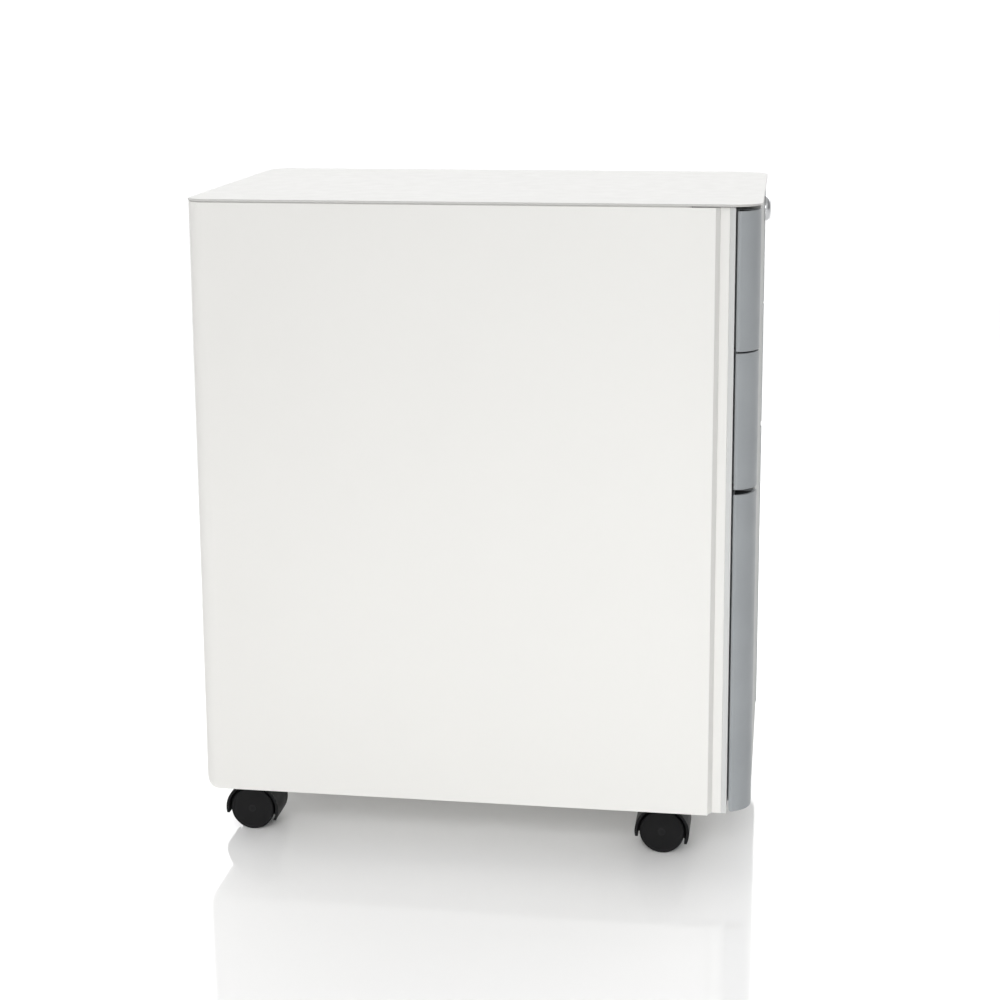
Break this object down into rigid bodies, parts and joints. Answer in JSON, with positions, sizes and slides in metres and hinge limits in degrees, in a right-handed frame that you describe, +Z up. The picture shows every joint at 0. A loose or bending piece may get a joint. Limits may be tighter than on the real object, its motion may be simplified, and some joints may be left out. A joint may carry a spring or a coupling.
{
  "type": "metal filing cabinet",
  "caption": "Slim steel mobile pedestal with box drawers, a file drawer, grey side grip strips, a central lock and twin-wheel casters.",
  "frame": {"origin": "on the floor, under the middle of the cabinet's overall box", "axes": "+Z up, drawers open towards -Y, +X to the user's right when facing the drawers"},
  "size_m": [0.3, 0.495, 0.584],
  "materials": {
    "white_paint": "satin off-white powder coat with a fine orange-peel texture",
    "front_paint": "satin silver-grey powder coat with a fine texture",
    "grip_plastic": "silver-grey moulded ABS, satin, very fine grain",
    "insert_plastic": "black moulded polystyrene, fine grain",
    "caster_plastic": "black moulded nylon, matt grain",
    "wheel_plastic": "black moulded nylon, polished slightly on the tread",
    "zinc_steel": "bright zinc-plated steel",
    "lock_chrome": "polished chrome-plated zinc casting",
    "cast_ballast": "dark grey primer on rolled steel"
  },
  "bodies": {
    "cabinet": {"outer_shell": "white_paint", "top_plate": "white_paint", "edge_returns": "white_paint", "front_posts": "white_paint", "post_lips": "front_paint", "rear_uprights": "white_paint", "base_pan": "white_paint", "front_top_rail": "white_paint", "front_bottom_rail": "white_paint", "ballast_block": "cast_ballast", "cabinet_slide_members": "zinc_steel", "lock_bar_guides": "zinc_steel", "caster_stems": "zinc_steel", "lock_housing": "lock_chrome"},
    "lock_plug": {"lock_plug": "lock_chrome", "lock_cam": "zinc_steel"},
    "lock_bar": {"lock_bar": "zinc_steel"},
    "top_drawer": {"top_drawer_tray": "white_paint", "top_drawer_front_pan": "front_paint", "top_drawer_front_skin": "front_paint", "top_drawer_catch": "zinc_steel", "top_drawer_grips": "grip_plastic", "top_drawer_screws": "zinc_steel", "top_slide_inner": "zinc_steel", "pencil_tray": "insert_plastic"},
    "top_slides": {"top_slide_middle": "zinc_steel"},
    "middle_drawer": {"middle_drawer_tray": "white_paint", "middle_drawer_front_pan": "front_paint", "middle_drawer_front_skin": "front_paint", "middle_drawer_catch": "zinc_steel", "middle_drawer_grips": "grip_plastic", "middle_drawer_screws": "zinc_steel", "middle_slide_inner": "zinc_steel"},
    "middle_slides": {"middle_slide_middle": "zinc_steel"},
    "file_drawer": {"file_drawer_tray": "white_paint", "file_drawer_front_pan": "front_paint", "file_drawer_front_skin": "front_paint", "file_drawer_catch": "zinc_steel", "file_drawer_grips": "grip_plastic", "file_drawer_screws": "zinc_steel", "file_slide_inner": "zinc_steel", "hanging_file_rails": "zinc_steel"},
    "file_slides": {"file_slide_middle": "zinc_steel"},
    "caster_front_left": {"caster_front_left_hood": "caster_plastic", "caster_front_left_axle": "zinc_steel"},
    "caster_front_left_wheel_outer": {"caster_front_left_wheel_outer": "wheel_plastic"},
    "caster_front_left_wheel_inner": {"caster_front_left_wheel_inner": "wheel_plastic"},
    "caster_front_right": {"caster_front_right_hood": "caster_plastic", "caster_front_right_axle": "zinc_steel"},
    "caster_front_right_wheel_outer": {"caster_front_right_wheel_outer": "wheel_plastic"},
    "caster_front_right_wheel_inner": {"caster_front_right_wheel_inner": "wheel_plastic"},
    "caster_rear_left": {"caster_rear_left_hood": "caster_plastic", "caster_rear_left_axle": "zinc_steel"},
    "caster_rear_left_wheel_outer": {"caster_rear_left_wheel_outer": "wheel_plastic"},
    "caster_rear_left_wheel_inner": {"caster_rear_left_wheel_inner": "wheel_plastic"},
    "caster_rear_right": {"caster_rear_right_hood": "caster_plastic", "caster_rear_right_axle": "zinc_steel"},
    "caster_rear_right_wheel_outer": {"caster_rear_right_wheel_outer": "wheel_plastic"},
    "caster_rear_right_wheel_inner": {"caster_rear_right_wheel_inner": "wheel_plastic"}
  },
  "joints": [
    {"name": "lock_turn", "type": "hinge", "parent": "cabinet", "child": "lock_plug", "pos_m": [0.09, -0.2355, 0.5553], "axis": [0, -1, 0], "range_deg": [0, 90]},
    {"name": "lock_bar_lift", "type": "slide", "parent": "cabinet", "child": "lock_bar", "axis": [0, 0, 1], "range_m": [0, 0.0113]},
    {"name": "top_drawer_slide", "type": "slide", "parent": "cabinet", "child": "top_drawer", "axis": [0, -1, 0], "range_m": [0, 0.33]},
    {"name": "top_slides_travel", "type": "slide", "parent": "cabinet", "child": "top_slides", "axis": [0, -1, 0], "range_m": [0, 0.165]},
    {"name": "middle_drawer_slide", "type": "slide", "parent": "cabinet", "child": "middle_drawer", "axis": [0, -1, 0], "range_m": [0, 0.33]},
    {"name": "middle_slides_travel", "type": "slide", "parent": "cabinet", "child": "middle_slides", "axis": [0, -1, 0], "range_m": [0, 0.165]},
    {"name": "file_drawer_slide", "type": "slide", "parent": "cabinet", "child": "file_drawer", "axis": [0, -1, 0], "range_m": [0, 0.38]},
    {"name": "file_slides_travel", "type": "slide", "parent": "cabinet", "child": "file_slides", "axis": [0, -1, 0], "range_m": [0, 0.19]},
    {"name": "caster_front_left_swivel", "type": "hinge", "parent": "cabinet", "child": "caster_front_left", "pos_m": [-0.1, -0.176, 0.05], "axis": [0, 0, 1], "continuous": true},
    {"name": "caster_front_left_wheel_outer_spin", "type": "hinge", "parent": "caster_front_left", "child": "caster_front_left_wheel_outer", "pos_m": [-0.1, -0.164, 0.02], "axis": [1, 0, 0], "continuous": true},
    {"name": "caster_front_left_wheel_inner_spin", "type": "hinge", "parent": "caster_front_left", "child": "caster_front_left_wheel_inner", "pos_m": [-0.1, -0.164, 0.02], "axis": [1, 0, 0], "continuous": true},
    {"name": "caster_front_right_swivel", "type": "hinge", "parent": "cabinet", "child": "caster_front_right", "pos_m": [0.1, -0.176, 0.05], "axis": [0, 0, 1], "continuous": true},
    {"name": "caster_front_right_wheel_outer_spin", "type": "hinge", "parent": "caster_front_right", "child": "caster_front_right_wheel_outer", "pos_m": [0.1, -0.164, 0.02], "axis": [1, 0, 0], "continuous": true},
    {"name": "caster_front_right_wheel_inner_spin", "type": "hinge", "parent": "caster_front_right", "child": "caster_front_right_wheel_inner", "pos_m": [0.1, -0.164, 0.02], "axis": [1, 0, 0], "continuous": true},
    {"name": "caster_rear_left_swivel", "type": "hinge", "parent": "cabinet", "child": "caster_rear_left", "pos_m": [-0.1, 0.1995, 0.05], "axis": [0, 0, 1], "continuous": true},
    {"name": "caster_rear_left_wheel_outer_spin", "type": "hinge", "parent": "caster_rear_left", "child": "caster_rear_left_wheel_outer", "pos_m": [-0.1, 0.2115, 0.02], "axis": [1, 0, 0], "continuous": true},
    {"name": "caster_rear_left_wheel_inner_spin", "type": "hinge", "parent": "caster_rear_left", "child": "caster_rear_left_wheel_inner", "pos_m": [-0.1, 0.2115, 0.02], "axis": [1, 0, 0], "continuous": true},
    {"name": "caster_rear_right_swivel", "type": "hinge", "parent": "cabinet", "child": "caster_rear_right", "pos_m": [0.1, 0.1995, 0.05], "axis": [0, 0, 1], "continuous": true},
    {"name": "caster_rear_right_wheel_outer_spin", "type": "hinge", "parent": "caster_rear_right", "child": "caster_rear_right_wheel_outer", "pos_m": [0.1, 0.2115, 0.02], "axis": [1, 0, 0], "continuous": true},
    {"name": "caster_rear_right_wheel_inner_spin", "type": "hinge", "parent": "caster_rear_right", "child": "caster_rear_right_wheel_inner", "pos_m": [0.1, 0.2115, 0.02], "axis": [1, 0, 0], "continuous": true}
  ],
  "couplings": [
    {"joint": "lock_turn", "follows": "lock_bar_lift", "rad_per_m": 138.84},
    {"joint": "top_slides_travel", "follows": "top_drawer_slide", "ratio": 0.5},
    {"joint": "middle_slides_travel", "follows": "middle_drawer_slide", "ratio": 0.5},
    {"joint": "file_slides_travel", "follows": "file_drawer_slide", "ratio": 0.5}
  ]
}
